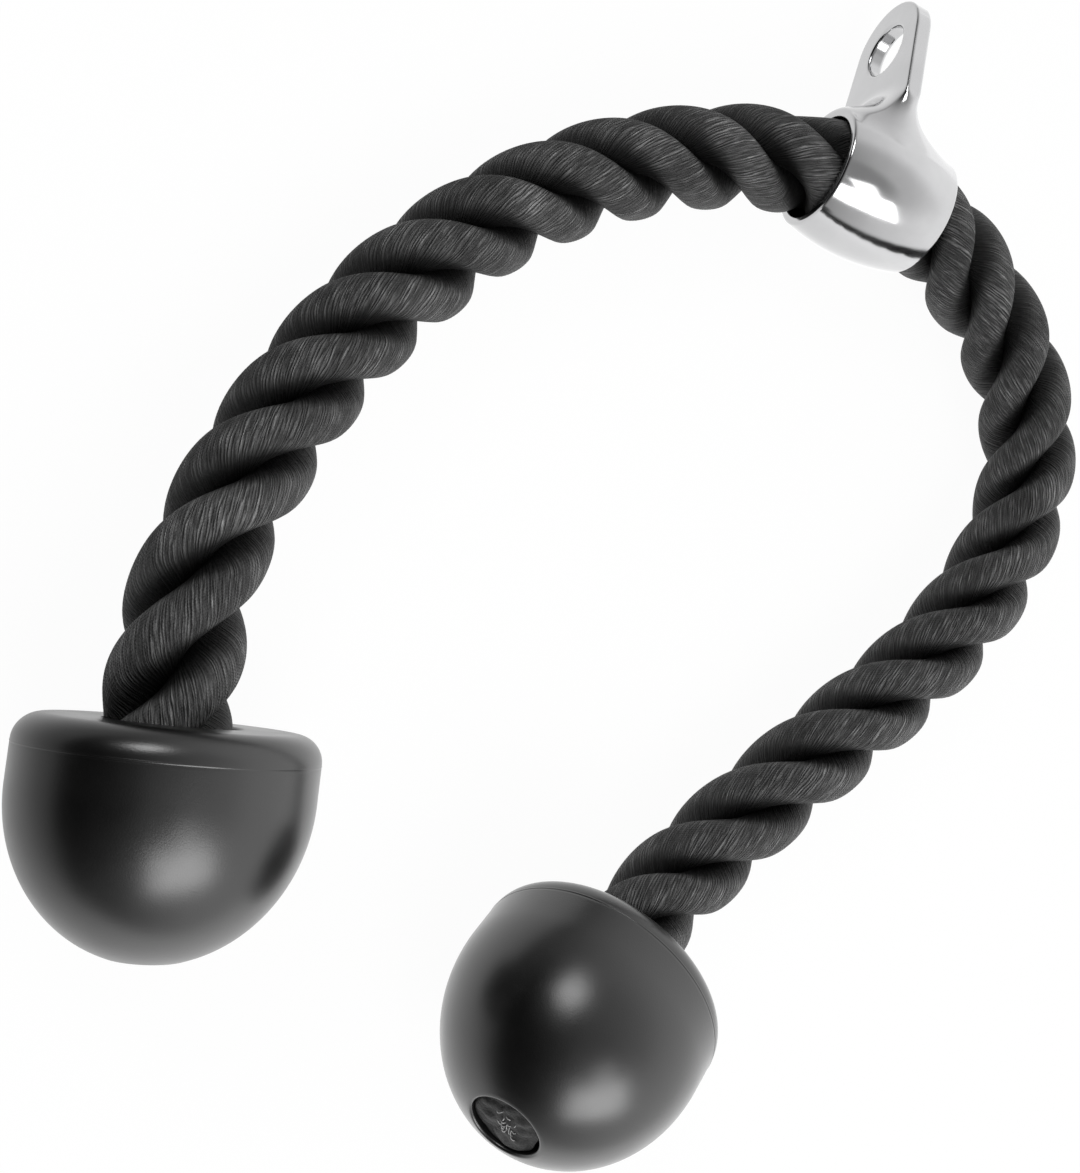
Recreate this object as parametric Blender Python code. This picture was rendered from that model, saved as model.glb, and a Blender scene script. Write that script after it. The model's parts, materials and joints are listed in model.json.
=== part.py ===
"""Triceps rope attachment: a laid rope held in a chromed clamp, with a moulded ball on each end.

The model lies on the floor as a loose C. World axes: +X runs along the clamp's sleeve from the
left arm to the right arm, +Y points out along the clamp's tab, +Z is up. Lengths are in metres.
"""
import bpy
import bmesh
from math import cos, pi, radians, sin, sqrt
from mathutils import Matrix, Vector
import numpy as np

# Rope
ROPE_RADIUS = 0.016
STRANDS = 3
TUBE_STEP = 0.014
TUBE_BEVEL_RESOLUTION = 4
SEAM_GAP = 0.0003

# Clearances
ROPE_CLEARANCE = 0.0003
FERRULE_CLEARANCE = 0.0003
CUT_OVERRUN = 0.004

# Clamp: a barrel-shaped sleeve with a flat tab square to its axis
SLEEVE_LENGTH = 0.0395
SLEEVE_WALL = 0.0019
SLEEVE_BELLY = 0.0026
SLEEVE_LIP = 0.0008
TAB_OFFSET = -0.003
TAB_THICKNESS = 0.0055
TAB_TIP_RADIUS = 0.0162
TAB_EDGE_ROUND = 0.0011
TAB_DIP = radians(4.0)
EYE_DISTANCE = 0.047
EYE_RADIUS = 0.008
FLARE_RISE = 0.012
FLARE_SPREAD = 0.017
SLEEVE_SEGMENTS = 48
SLEEVE_RINGS = 8
LIP_STEPS = 3
OUTLINE_STEPS = 32
TAB_RINGS = 9
TAB_EDGE_STEPS = 2
TAB_EDGE_ANGLE = radians(50.0)

# Ball: a collar with a rounded rim, closed by a slightly pointed dome
BALL_RADIUS = 0.0363
BALL_HEIGHT = 0.0571
BALL_COLLAR = 0.0165
BALL_RIM_ROUND = 0.0068
BALL_BORE_CHAMFER = 0.0006
DOME_HOLE_RADIUS = 0.0098
DOME_HOLE_ROUND = 0.0008
BALL_SEGMENTS = 48
RIM_STEPS = 4
DOME_RINGS = 10

# Ferrule that binds the rope's end inside the ball, and the sealed ends of the strands
FERRULE_DEPTH = 0.020
FERRULE_LENGTH = 0.010
FERRULE_WALL = 0.002
FERRULE_CHAMFER = 0.0005
TIP_DEPTH = 0.009
TIP_LENGTH = 0.0045
TIP_CROWN = 0.0022
TIP_SEGMENTS = 36
TIP_RINGS = 5

# Placement of the balls' axes: azimuth about +Z, and rise of the dome above the floor
LEFT_BALL_AZIMUTH = radians(-80.4)
LEFT_BALL_RISE = radians(3.4)
RIGHT_BALL_AZIMUTH = radians(-130.3)
RIGHT_BALL_RISE = radians(29.6)

# The rope's direction in the clamp's mouths, and the stretch next to a mouth that takes the bend
LEFT_MOUTH_TURN = radians(8.0)
RIGHT_MOUTH_TURN = radians(10.0)
BEND_LENGTH = 0.076
HINGE_SHARE = 0.5

# Routes of the two free arms, from the clamp's mouth to the ball's flat face.
# Points are measured from the middle of the sleeve across the floor, and from the floor up.
LEFT_ROUTE = (
    (-0.0198, 0.0000, 0.0208),
    (-0.0378, -0.0050, 0.0196),
    (-0.0550, -0.0119, 0.0186),
    (-0.0710, -0.0208, 0.0180),
    (-0.0859, -0.0313, 0.0180),
    (-0.0995, -0.0433, 0.0186),
    (-0.1119, -0.0567, 0.0196),
    (-0.1229, -0.0713, 0.0210),
    (-0.1327, -0.0869, 0.0227),
    (-0.1411, -0.1034, 0.0247),
    (-0.1481, -0.1204, 0.0269),
    (-0.1537, -0.1380, 0.0291),
    (-0.1579, -0.1558, 0.0313),
    (-0.1602, -0.1738, 0.0332),
    (-0.1594, -0.1919, 0.0346),
    (-0.1554, -0.2099, 0.0358),
)
RIGHT_ROUTE = (
    (0.0198, 0.0000, 0.0208),
    (0.0408, -0.0085, 0.0202),
    (0.0598, -0.0195, 0.0194),
    (0.0756, -0.0345, 0.0187),
    (0.0859, -0.0526, 0.0182),
    (0.0892, -0.0727, 0.0179),
    (0.0863, -0.0933, 0.0177),
    (0.0788, -0.1132, 0.0176),
    (0.0684, -0.1315, 0.0175),
    (0.0560, -0.1485, 0.0174),
    (0.0429, -0.1647, 0.0174),
    (0.0298, -0.1809, 0.0174),
    (0.0170, -0.1974, 0.0174),
    (0.0048, -0.2143, 0.0176),
    (-0.0080, -0.2314, 0.0205),
    (-0.0195, -0.2481, 0.0291),
)

# Looks of the plain solids
CHROME = ("chrome", (0.80, 0.80, 0.81), 0.10, 1.0)
NYLON = ("black_nylon", (0.022, 0.022, 0.024), 0.85, 0.0)
MOULDED_RUBBER = ("black_rubber", (0.016, 0.016, 0.017), 0.42, 0.0)
ZINC = ("zinc_ferrule", (0.45, 0.45, 0.46), 0.35, 1.0)
MELTED_NYLON = ("melted_nylon", (0.030, 0.029, 0.029), 0.45, 0.0)

SHARP_ANGLE = radians(35.0)
SPLINE_STEPS = 24
END_RUN = 0.003

# Sizes that follow
BORE_RADIUS = ROPE_RADIUS + ROPE_CLEARANCE
MOUTH_RADIUS = BORE_RADIUS + SLEEVE_WALL
BELLY_RADIUS = MOUTH_RADIUS + SLEEVE_BELLY
SLEEVE_HALF = SLEEVE_LENGTH / 2
SLEEVE_HEIGHT = BELLY_RADIUS
FERRULE_POCKET_RADIUS = BORE_RADIUS + FERRULE_WALL + FERRULE_CLEARANCE
ROPE_IN_BALL = BALL_HEIGHT - TIP_DEPTH
STRAND_RADIUS = ROPE_RADIUS / (1 + 1 / sin(pi / STRANDS))
STRAND_CENTRE = ROPE_RADIUS - STRAND_RADIUS


def clear_scene():
    for old in list(bpy.data.objects):
        bpy.data.objects.remove(old, do_unlink=True)


def material(look):
    name, colour, roughness, metallic = look
    found = bpy.data.materials.get(name)
    if found:
        return found
    made = bpy.data.materials.new(name)
    made.use_nodes = True
    shader = made.node_tree.nodes["Principled BSDF"]
    shader.inputs["Base Color"].default_value = (*colour, 1.0)
    shader.inputs["Roughness"].default_value = roughness
    shader.inputs["Metallic"].default_value = metallic
    made.diffuse_color = (*colour, 1.0)
    return made


def empty(name, location, parent=None):
    made = bpy.data.objects.new(name, None)
    made.location = location
    made.parent = parent
    bpy.context.collection.objects.link(made)
    return made


def mesh_object(name, shape, look=None):
    """Turn a bmesh into a named object, with its faces pointing out and round parts smooth."""
    bmesh.ops.recalc_face_normals(shape, faces=shape.faces)
    mesh = bpy.data.meshes.new(name)
    shape.to_mesh(mesh)
    shape.free()
    mesh.shade_smooth()
    mesh.set_sharp_from_angle(angle=SHARP_ANGLE)
    made = bpy.data.objects.new(name, mesh)
    bpy.context.collection.objects.link(made)
    if look:
        mesh.materials.append(material(look))
    else:
        made.hide_render = True
        made.display_type = "WIRE"
    return made


def turned(profile, segments, closed):
    """Spin a profile of (radius, height) points about +Z. An open profile ends on the axis."""
    shape = bmesh.new()
    points = [shape.verts.new((radius, 0.0, height)) for radius, height in profile]
    pairs = list(zip(points, points[1:]))
    if closed:
        pairs.append((points[-1], points[0]))
    edges = [shape.edges.new(pair) for pair in pairs]
    bmesh.ops.spin(
        shape,
        geom=points + edges,
        cent=(0, 0, 0),
        axis=(0, 0, 1),
        angle=2 * pi,
        steps=segments,
        use_merge=True,
    )
    bmesh.ops.remove_doubles(shape, verts=shape.verts, dist=ROPE_CLEARANCE / 10)
    return shape


def boolean(target, operation, other):
    change = target.modifiers.new(other.name, "BOOLEAN")
    change.operation = operation
    change.solver = "EXACT"
    change.object = other


def arc(centre, radius, start, end, steps):
    """Points (radius, height) of a round corner in a profile."""
    turns = [start + (end - start) * step / steps for step in range(steps + 1)]
    return [(centre[0] + radius * cos(turn), centre[1] + radius * sin(turn)) for turn in turns]


def direction(azimuth, rise):
    return Vector((cos(azimuth) * cos(rise), sin(azimuth) * cos(rise), sin(rise)))


# Rope: a smooth curve through a route, and plain tubes along stretches of it

def smooth_points(route, start_direction, end_direction):
    """Fine points of a cubic curve through the route with even curvature and given end directions."""
    points = np.array([tuple(point) for point in route])
    spans = np.linalg.norm(np.diff(points, axis=0), axis=1)
    slopes = np.diff(points, axis=0) / spans[:, None]
    count = len(points)
    matrix = np.eye(count)
    sides = np.zeros((count, 3))
    sides[0] = start_direction
    sides[-1] = end_direction
    for i in range(1, count - 1):
        before, after = spans[i - 1], spans[i]
        matrix[i, i - 1 : i + 2] = (after, 2 * (before + after), before)
        sides[i] = 3 * (after * slopes[i - 1] + before * slopes[i])
    tangents = np.linalg.solve(matrix, sides)
    fine = []
    for i, span in enumerate(spans):
        for share in np.arange(SPLINE_STEPS) / SPLINE_STEPS:
            fine.append(
                (1 + 2 * share) * (1 - share) ** 2 * points[i]
                + share * (1 - share) ** 2 * span * tangents[i]
                + share**2 * (3 - 2 * share) * points[i + 1]
                + share**2 * (share - 1) * span * tangents[i + 1]
            )
    fine.append(points[-1])
    return np.array(fine)


class Route:
    """A smooth curve that is read by the distance travelled along it."""

    def __init__(self, route, start_direction, end_direction):
        self.points = smooth_points(route, start_direction, end_direction)
        steps = np.linalg.norm(np.diff(self.points, axis=0), axis=1)
        self.travel = np.concatenate(([0.0], np.cumsum(steps)))
        self.length = float(self.travel[-1])

    def at(self, distance):
        return Vector([float(np.interp(distance, self.travel, self.points[:, i])) for i in range(3)])

    def heading(self, distance):
        look = END_RUN / 10
        return (self.at(distance + look) - self.at(distance - look)).normalized()

    def stretch(self, start, end):
        """Points from start to end, with a short straight run at each end, so that its caps lie square."""
        first, last = self.at(start), self.at(end)
        steps = max(2, round((end - start) / TUBE_STEP))
        between = [self.at(start + (end - start) * step / steps) for step in range(1, steps)]
        start_run = self.heading(start) * END_RUN
        end_run = self.heading(end) * END_RUN
        return [first, first + start_run, *between, last - end_run, last]


def tube(name, points):
    data = bpy.data.curves.new(name, "CURVE")
    data.dimensions = "3D"
    data.bevel_depth = ROPE_RADIUS
    data.bevel_resolution = TUBE_BEVEL_RESOLUTION
    data.use_fill_caps = True
    data.materials.append(material(NYLON))
    spline = data.splines.new("POLY")
    spline.points.add(len(points[1:]))
    for knot, point in zip(spline.points, points):
        knot.co = (*point, 1.0)
    made = bpy.data.objects.new(name, data)
    bpy.context.collection.objects.link(made)
    return made


# Clamp

def sleeve_radius(place):
    """Outer radius of the barrel at a place along its axis."""
    return MOUTH_RADIUS + SLEEVE_BELLY * (1 - (place / SLEEVE_HALF) ** 2)


def sleeve_blank():
    """The barrel without its bore, turned about +Z and then laid along +X."""
    lip_centre = (MOUTH_RADIUS - SLEEVE_LIP, SLEEVE_HALF - SLEEVE_LIP)
    lip = arc(lip_centre, SLEEVE_LIP, pi / 2, 0, LIP_STEPS)
    side = SLEEVE_HALF - SLEEVE_LIP
    places = np.linspace(side, -side, SLEEVE_RINGS + 1)[1:-1]
    middle = [(sleeve_radius(place), place) for place in places]
    low_lip = [(radius, -height) for radius, height in reversed(lip)]
    profile = [(0.0, SLEEVE_HALF), *lip, *middle, *low_lip, (0.0, -SLEEVE_HALF)]
    shape = turned(profile, SLEEVE_SEGMENTS, closed=False)
    bmesh.ops.rotate(shape, verts=shape.verts, matrix=Matrix.Rotation(pi / 2, 3, "Y"))
    return shape


def bore_cutter():
    """A bar of the bore's radius that opens out with a round lip at both mouths."""
    lip_centre = (BORE_RADIUS + SLEEVE_LIP, SLEEVE_HALF - SLEEVE_LIP)
    lip = arc(lip_centre, SLEEVE_LIP, pi / 2, pi, LIP_STEPS)
    reach = SLEEVE_HALF + CUT_OVERRUN
    top = [(0.0, reach), (BORE_RADIUS + SLEEVE_LIP, reach), *lip]
    bottom = [(radius, -height) for radius, height in reversed(top)]
    shape = turned(top + bottom, SLEEVE_SEGMENTS, closed=False)
    bmesh.ops.rotate(shape, verts=shape.verts, matrix=Matrix.Rotation(pi / 2, 3, "Y"))
    return mesh_object("bore_cutter", shape)


def eye_cutter():
    """A bar of the eye's radius with a chamfer at both faces of the tab."""
    face = TAB_THICKNESS / 2
    wide = EYE_RADIUS + TAB_EDGE_ROUND / 2
    chamfer = [(wide, face), (EYE_RADIUS, face - TAB_EDGE_ROUND / 2)]
    top = [(0.0, face + CUT_OVERRUN), (wide, face + CUT_OVERRUN), *chamfer]
    bottom = [(radius, -height) for radius, height in reversed(top)]
    shape = turned(top + bottom, SLEEVE_SEGMENTS, closed=False)
    bmesh.ops.rotate(shape, verts=shape.verts, matrix=Matrix.Rotation(pi / 2, 3, "Y"))
    bmesh.ops.translate(shape, verts=shape.verts, vec=(TAB_OFFSET, EYE_DISTANCE, 0))
    return mesh_object("eye_cutter", shape)


def tab_outline():
    """The tab's edge seen along the sleeve, as (y, z): two flanks tangent to the barrel and a round tip."""
    root = sleeve_radius(TAB_OFFSET)
    lean = np.arcsin((root - TAB_TIP_RADIUS) / EYE_DISTANCE)
    flank_start = Vector((root * sin(lean), root * cos(lean)))
    flank_end = Vector((EYE_DISTANCE + TAB_TIP_RADIUS * sin(lean), TAB_TIP_RADIUS * cos(lean)))
    steps = OUTLINE_STEPS // 4
    flank = [flank_start.lerp(flank_end, step / steps) for step in range(steps)]
    turns = [lean + (pi / 2 - lean) * step / steps for step in range(steps)]
    tip = [
        Vector((EYE_DISTANCE + TAB_TIP_RADIUS * sin(turn), TAB_TIP_RADIUS * cos(turn)))
        for turn in turns
    ]
    half = flank + tip
    top = [Vector((EYE_DISTANCE + TAB_TIP_RADIUS, 0.0))]
    return half + top + [Vector((point.x, -point.y)) for point in reversed(half)]


def tab_half_thickness(from_axis):
    """Half of the tab's thickness, which flares out as it comes down to the barrel."""
    above = from_axis - BELLY_RADIUS
    share = min(max(1 - above / FLARE_RISE, 0.0), 1.0)
    return TAB_THICKNESS / 2 + FLARE_SPREAD * (1 - sqrt(1 - share**2 * (1 - SLEEVE_BELLY / FLARE_RISE)))


def tab_blank():
    """The tab as a front and a back sheet over its outline, joined all round."""
    outline = tab_outline()
    last = len(outline) - 1
    root = sleeve_radius(TAB_OFFSET) / 2
    feet = [Vector((root, place)) for place in np.linspace(root, -root, len(outline))]
    shape = bmesh.new()
    sheets = []
    for side in (-1, 1):
        rows = []
        for ring in range(TAB_RINGS + 1):
            inward = ring / TAB_RINGS
            row = []
            for edge, foot in zip(outline, feet):
                place = edge.lerp(foot, inward)
                deep = side * tab_half_thickness(place.length)
                row.append(shape.verts.new((TAB_OFFSET + deep, place.x, place.y)))
            rows.append(row)
        sheets.append(rows)
    for rows in sheets:
        for upper, lower in zip(rows, rows[1:]):
            for i in range(last):
                shape.faces.new((upper[i], upper[i + 1], lower[i + 1], lower[i]))
    front, back = sheets
    for a, b in ((front[0], back[0]), (front[-1], back[-1])):
        for i in range(last):
            shape.faces.new((a[i], a[i + 1], b[i + 1], b[i]))
    for end in (0, last):
        for ring in range(TAB_RINGS):
            corners = (front[ring][end], front[ring + 1][end], back[ring + 1][end], back[ring][end])
            shape.faces.new(corners)
    made = mesh_object("tab_blank", shape)
    edges = made.modifiers.new("round_edges", "BEVEL")
    edges.width = TAB_EDGE_ROUND
    edges.segments = TAB_EDGE_STEPS
    edges.limit_method = "ANGLE"
    edges.angle_limit = TAB_EDGE_ANGLE
    return made


def make_clamp(parent):
    body = mesh_object("clamp_body", sleeve_blank(), CHROME)
    tab = tab_blank()
    bore = bore_cutter()
    eye = eye_cutter()
    boolean(body, "UNION", tab)
    boolean(body, "DIFFERENCE", bore)
    boolean(body, "DIFFERENCE", eye)
    holder = empty("clamp_frame", (0, 0, SLEEVE_HEIGHT), parent)
    holder.rotation_euler = (-TAB_DIP, 0, 0)
    for piece in (body, tab, bore, eye):
        piece.parent = holder


# Balls and what they hold

def ball_shape():
    """A ball turned about +Z, from its flat face at zero to the top of its dome."""
    rim_centre = (BALL_RADIUS - BALL_RIM_ROUND, BALL_RIM_ROUND)
    rim = arc(rim_centre, BALL_RIM_ROUND, -pi / 2, 0, RIM_STEPS)
    dome_height = BALL_HEIGHT - BALL_COLLAR
    hole_edge = DOME_HOLE_RADIUS + DOME_HOLE_ROUND
    last_turn = np.arccos(hole_edge / BALL_RADIUS)
    turns = [last_turn * step / DOME_RINGS for step in range(DOME_RINGS + 1)]
    dome = [(BALL_RADIUS * cos(turn), BALL_COLLAR + dome_height * sin(turn)) for turn in turns]
    pocket_end = FERRULE_DEPTH + FERRULE_LENGTH + FERRULE_CLEARANCE
    pocket_start = FERRULE_DEPTH - FERRULE_CLEARANCE
    seat = ROPE_IN_BALL + SEAM_GAP
    inside = [
        (DOME_HOLE_RADIUS, dome[-1][1] - DOME_HOLE_ROUND),
        (DOME_HOLE_RADIUS, seat),
        (BORE_RADIUS, seat),
        (BORE_RADIUS, pocket_end),
        (FERRULE_POCKET_RADIUS, pocket_end),
        (FERRULE_POCKET_RADIUS, pocket_start),
        (BORE_RADIUS, pocket_start),
        (BORE_RADIUS, BALL_BORE_CHAMFER),
        (BORE_RADIUS + BALL_BORE_CHAMFER, 0.0),
    ]
    return turned(rim + dome + inside, BALL_SEGMENTS, closed=True)


def ferrule_shape():
    """A plain ring with chamfered corners, turned about +Z from zero."""
    inner, outer = BORE_RADIUS, BORE_RADIUS + FERRULE_WALL
    cut = FERRULE_CHAMFER
    profile = [
        (inner, 0.0),
        (outer - cut, 0.0),
        (outer, cut),
        (outer, FERRULE_LENGTH - cut),
        (outer - cut, FERRULE_LENGTH),
        (inner, FERRULE_LENGTH),
    ]
    return turned(profile, BALL_SEGMENTS, closed=True)


def tip_shape():
    """The strands' sealed ends: a three-lobed plug with a low crown on each lobe, from zero up."""
    lobe_turn = 2 * pi / STRANDS
    shape = bmesh.new()
    foot = shape.verts.new((0, 0, 0))
    top = shape.verts.new((0, 0, TIP_LENGTH - TIP_CROWN))
    rings = []
    for ring in range(1, TIP_RINGS + 1):
        row = []
        for segment in range(TIP_SEGMENTS):
            turn = 2 * pi * segment / TIP_SEGMENTS
            off_lobe = (turn + lobe_turn / 2) % lobe_turn - lobe_turn / 2
            reach = sqrt(max(STRAND_RADIUS**2 - (STRAND_CENTRE * sin(off_lobe)) ** 2, 0.0))
            radius = (STRAND_CENTRE * cos(off_lobe) + reach) * ring / TIP_RINGS
            from_lobe = Vector((radius * cos(off_lobe) - STRAND_CENTRE, radius * sin(off_lobe))).length
            crown = sqrt(max(1 - (from_lobe / STRAND_RADIUS) ** 2, 0.0))
            height = TIP_LENGTH - TIP_CROWN * (1 - crown)
            row.append(shape.verts.new((radius * cos(turn), radius * sin(turn), height)))
        rings.append(row)
    edge = [shape.verts.new((vertex.co.x, vertex.co.y, 0)) for vertex in rings[-1]]
    for i in range(TIP_SEGMENTS):
        j = (i + 1) % TIP_SEGMENTS
        shape.faces.new((top, rings[0][i], rings[0][j]))
        shape.faces.new((foot, edge[j], edge[i]))
        for low, high in zip(rings, rings[1:]):
            shape.faces.new((low[i], high[i], high[j], low[j]))
        shape.faces.new((rings[-1][i], edge[i], edge[j], rings[-1][j]))
    return shape


def make_ball(side, place, axis, pivot):
    """A ball with the rope's end, its ferrule and its sealed tip, on the axis that the rope comes in by."""
    holder = empty(f"{side}_ball_frame", place - pivot.location, pivot)
    holder.rotation_mode = "QUATERNION"
    holder.rotation_quaternion = axis.to_track_quat("Z", "Y")
    tip_start = ROPE_IN_BALL - TIP_LENGTH
    ball = mesh_object(f"{side}_ball", ball_shape(), MOULDED_RUBBER)
    ferrule = mesh_object(f"{side}_ferrule", ferrule_shape(), ZINC)
    ferrule.location = (0, 0, FERRULE_DEPTH)
    tip = mesh_object(f"{side}_rope_tip", tip_shape(), MELTED_NYLON)
    tip.location = (0, 0, tip_start)
    end = tube(f"{side}_rope_end", [(0, 0, SEAM_GAP / 2), (0, 0, tip_start - SEAM_GAP)])
    for piece in (ball, ferrule, tip, end):
        piece.parent = holder


def make_arm(side, route, mouth_direction, ball_azimuth, ball_rise, parent):
    """A free arm of the rope: the stretch that bends at the clamp, the rest of the arm, and its ball."""
    axis = direction(ball_azimuth, ball_rise)
    places = [Vector(point) for point in route]
    places[0].x = SLEEVE_HALF if places[0].x > 0 else -SLEEVE_HALF
    places[0].z = SLEEVE_HEIGHT
    resting = (BALL_RADIUS - BALL_RIM_ROUND) * cos(ball_rise) + BALL_RIM_ROUND * (1 - sin(ball_rise))
    places[-1].z = resting
    path = Route(places, mouth_direction, axis)
    pivot = empty(f"{side}_arm_pivot", path.at(BEND_LENGTH * HINGE_SHARE), parent)
    bend = tube(f"{side}_rope_bend", path.stretch(SEAM_GAP, BEND_LENGTH - SEAM_GAP / 2))
    bend.parent = parent
    rest = path.stretch(BEND_LENGTH + SEAM_GAP / 2, path.length - SEAM_GAP / 2)
    arm = tube(f"{side}_rope_arm", [point - pivot.location for point in rest])
    arm.parent = pivot
    make_ball(side, places[-1], axis, pivot)
    return [bend, arm]


def stand_on_floor(holder, cords):
    """Move the whole model so that its origin is under the middle of everything but the free cord."""
    bpy.context.view_layer.update()
    graph = bpy.context.evaluated_depsgraph_get()
    corners = []
    for piece in bpy.context.scene.objects:
        if piece.hide_render or piece.type == "EMPTY" or piece in cords:
            continue
        evaluated = piece.evaluated_get(graph)
        mesh = evaluated.to_mesh()
        corners += [evaluated.matrix_world @ vertex.co for vertex in mesh.vertices]
        evaluated.to_mesh_clear()
    low = [min(corner[i] for corner in corners) for i in range(3)]
    high = [max(corner[i] for corner in corners) for i in range(3)]
    holder.location = (-(low[0] + high[0]) / 2, -(low[1] + high[1]) / 2, -low[2])
    bpy.context.view_layer.update()


def main():
    clear_scene()
    attachment = empty("attachment", (0, 0, 0))
    make_clamp(attachment)
    left_out = direction(pi + LEFT_MOUTH_TURN, 0.0)
    right_out = direction(-RIGHT_MOUTH_TURN, 0.0)
    held_start = -SLEEVE_HALF + ROPE_RADIUS * sin(LEFT_MOUTH_TURN) + SEAM_GAP
    held_end = SLEEVE_HALF - ROPE_RADIUS * sin(RIGHT_MOUTH_TURN) - SEAM_GAP
    held = tube("rope_in_clamp", [(held_start, 0, SLEEVE_HEIGHT), (held_end, 0, SLEEVE_HEIGHT)])
    held.parent = attachment
    cords = make_arm("left", LEFT_ROUTE, left_out, LEFT_BALL_AZIMUTH, LEFT_BALL_RISE, attachment)
    cords += make_arm("right", RIGHT_ROUTE, right_out, RIGHT_BALL_AZIMUTH, RIGHT_BALL_RISE, attachment)
    stand_on_floor(attachment, cords)


main()
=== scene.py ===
import json
from math import cos, pi, radians, sin

import bpy
import numpy as np
from mathutils import Matrix, Quaternion, Vector


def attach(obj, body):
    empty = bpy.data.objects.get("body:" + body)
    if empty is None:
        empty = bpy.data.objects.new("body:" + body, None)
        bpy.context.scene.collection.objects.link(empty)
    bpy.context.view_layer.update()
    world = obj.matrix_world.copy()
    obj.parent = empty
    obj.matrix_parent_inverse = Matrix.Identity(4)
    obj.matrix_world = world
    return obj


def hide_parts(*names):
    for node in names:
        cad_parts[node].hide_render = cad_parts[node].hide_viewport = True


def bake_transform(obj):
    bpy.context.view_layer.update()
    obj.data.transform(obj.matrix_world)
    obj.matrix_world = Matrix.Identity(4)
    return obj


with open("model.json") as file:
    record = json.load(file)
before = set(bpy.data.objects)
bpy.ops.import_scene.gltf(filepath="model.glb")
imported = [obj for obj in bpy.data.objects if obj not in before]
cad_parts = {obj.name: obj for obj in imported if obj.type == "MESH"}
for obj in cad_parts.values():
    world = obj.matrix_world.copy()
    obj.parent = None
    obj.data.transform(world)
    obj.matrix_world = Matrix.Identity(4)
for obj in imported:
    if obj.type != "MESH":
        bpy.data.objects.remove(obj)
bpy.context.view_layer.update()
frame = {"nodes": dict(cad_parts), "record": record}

# Sizes that the CAD model has too, in metres
ROPE_RADIUS = 0.016
STRANDS = 3
ROPE_CLEARANCE = 0.0003
SLEEVE_LENGTH = 0.0395
SLEEVE_WALL = 0.0019
SLEEVE_BELLY = 0.0026
TAB_OFFSET = -0.003
TAB_THICKNESS = 0.0055
TAB_TIP_RADIUS = 0.0162
TAB_DIP = radians(4.0)
EYE_DISTANCE = 0.047
EYE_RADIUS = 0.008
FLARE_RISE = 0.012
FLARE_SPREAD = 0.017
BALL_RADIUS = 0.0363
BALL_HEIGHT = 0.0571
BALL_COLLAR = 0.0165
BALL_RIM_ROUND = 0.0068
DOME_HOLE_RADIUS = 0.0098
TIP_DEPTH = 0.009
LEFT_BALL_AZIMUTH = radians(-80.4)
LEFT_BALL_RISE = radians(3.4)
RIGHT_BALL_AZIMUTH = radians(-130.3)
RIGHT_BALL_RISE = radians(29.6)
LEFT_MOUTH_TURN = radians(8.0)
RIGHT_MOUTH_TURN = radians(10.0)
BEND_LENGTH = 0.076

BORE_RADIUS = ROPE_RADIUS + ROPE_CLEARANCE
MOUTH_RADIUS = BORE_RADIUS + SLEEVE_WALL
BELLY_RADIUS = MOUTH_RADIUS + SLEEVE_BELLY
SLEEVE_HALF = SLEEVE_LENGTH / 2
ROPE_IN_BALL = BALL_HEIGHT - TIP_DEPTH
LOBE_TURN = 2 * pi / STRANDS

# The record's two face mounts lie this far out along the tab, so they give the sleeve's centre
FACE_REACH = 0.0355
MOUNTS = {mount["name"]: Vector(mount["pos_m"]) for mount in frame["record"]["mounts"]}
TAB_MIDDLE = (MOUNTS["tab_face_left"] + MOUNTS["tab_face_right"]) / 2
TO_TAB = Vector((TAB_OFFSET, FACE_REACH * cos(TAB_DIP), -FACE_REACH * sin(TAB_DIP)))
SLEEVE_CENTRE = TAB_MIDDLE - TO_TAB
FOOT = Vector((SLEEVE_CENTRE.x, SLEEVE_CENTRE.y, 0))

# Routes of the rope's free arms, as in the CAD model, from the floor below the sleeve's middle
LEFT_ROUTE = (
    (-0.0198, 0.0000, 0.0208),
    (-0.0378, -0.0050, 0.0196),
    (-0.0550, -0.0119, 0.0186),
    (-0.0710, -0.0208, 0.0180),
    (-0.0859, -0.0313, 0.0180),
    (-0.0995, -0.0433, 0.0186),
    (-0.1119, -0.0567, 0.0196),
    (-0.1229, -0.0713, 0.0210),
    (-0.1327, -0.0869, 0.0227),
    (-0.1411, -0.1034, 0.0247),
    (-0.1481, -0.1204, 0.0269),
    (-0.1537, -0.1380, 0.0291),
    (-0.1579, -0.1558, 0.0313),
    (-0.1602, -0.1738, 0.0332),
    (-0.1594, -0.1919, 0.0346),
    (-0.1554, -0.2099, 0.0358),
)
RIGHT_ROUTE = (
    (0.0198, 0.0000, 0.0208),
    (0.0408, -0.0085, 0.0202),
    (0.0598, -0.0195, 0.0194),
    (0.0756, -0.0345, 0.0187),
    (0.0859, -0.0526, 0.0182),
    (0.0892, -0.0727, 0.0179),
    (0.0863, -0.0933, 0.0177),
    (0.0788, -0.1132, 0.0176),
    (0.0684, -0.1315, 0.0175),
    (0.0560, -0.1485, 0.0174),
    (0.0429, -0.1647, 0.0174),
    (0.0298, -0.1809, 0.0174),
    (0.0170, -0.1974, 0.0174),
    (0.0048, -0.2143, 0.0176),
    (-0.0080, -0.2314, 0.0205),
    (-0.0195, -0.2481, 0.0291),
)


# Small helpers

def direction(azimuth, rise):
    return Vector((cos(azimuth) * cos(rise), sin(azimuth) * cos(rise), sin(rise)))


def smooth_share(share):
    """A share kept between 0 and 1 that starts and ends gently."""
    share = np.clip(share, 0, 1)
    return share * share * (3 - 2 * share)


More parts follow.
